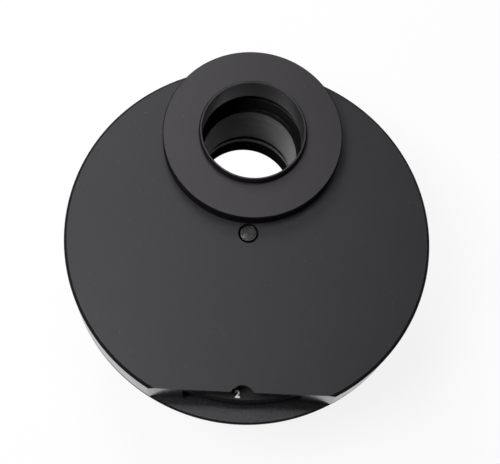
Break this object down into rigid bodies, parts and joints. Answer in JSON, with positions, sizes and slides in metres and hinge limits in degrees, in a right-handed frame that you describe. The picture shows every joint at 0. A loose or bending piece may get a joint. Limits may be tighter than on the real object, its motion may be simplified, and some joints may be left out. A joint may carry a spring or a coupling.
{
  "type": "optical filter wheel",
  "caption": "Thin round hand-turned filter wheel: an offset flange with a male camera thread in front, a 2-inch barrel behind, and a thumb window over the carousel's rim.",
  "frame": {"origin": "on the optical axis at the barrel's shoulder, where the rear flange's back face ends", "axes": "+Z along the optical axis, out of the camera thread; +Y away from the carousel's spin axis, so the thumb window is at -Y; +X completes a right-handed frame"},
  "size_m": [0.16, 0.1643, 0.0828],
  "materials": {
    "black_anodised": "fine-blasted black anodised aluminium, satin",
    "black_anodised_turned": "turned black anodised aluminium, satin",
    "black_anodised_carousel": "matt black anodised aluminium with white filled numbers",
    "black_oxide_steel": "black oxide on steel screws",
    "blackened_axle": "black oxide over a turned end face",
    "ground_steel": "plain ground steel",
    "spring_steel": "blued spring steel, plain edges",
    "bronze": "oil-filled sintered bronze",
    "white_washer": "slippery white plastic"
  },
  "bodies": {
    "casing": {"front_housing": "black_anodised", "rear_plate": "black_anodised", "front_adapter": "black_anodised_turned", "rear_adapter": "black_anodised_turned", "nosepiece": "black_anodised_turned", "rear_plate_screws": "black_oxide_steel", "front_adapter_screws": "black_oxide_steel", "rear_adapter_screws": "black_oxide_steel", "barrel_grub_screws": "black_oxide_steel", "axle_screw": "black_oxide_steel", "locating_pins": "ground_steel", "axle": "blackened_axle", "front_thrust_washer": "white_washer", "rear_thrust_washer": "white_washer", "disc_spring": "spring_steel", "axle_circlip": "spring_steel", "detent_spring": "spring_steel", "detent_spring_screws": "ground_steel"},
    "carousel": {"carousel": "black_anodised_carousel", "carousel_bush": "bronze"}
  },
  "joints": [
    {"name": "carousel_spin", "type": "hinge", "parent": "casing", "child": "carousel", "pos_m": [0, -0.0444, 0.0179], "axis": [0, 0, 1], "continuous": true, "deforming": ["detent_spring"]}
  ]
}
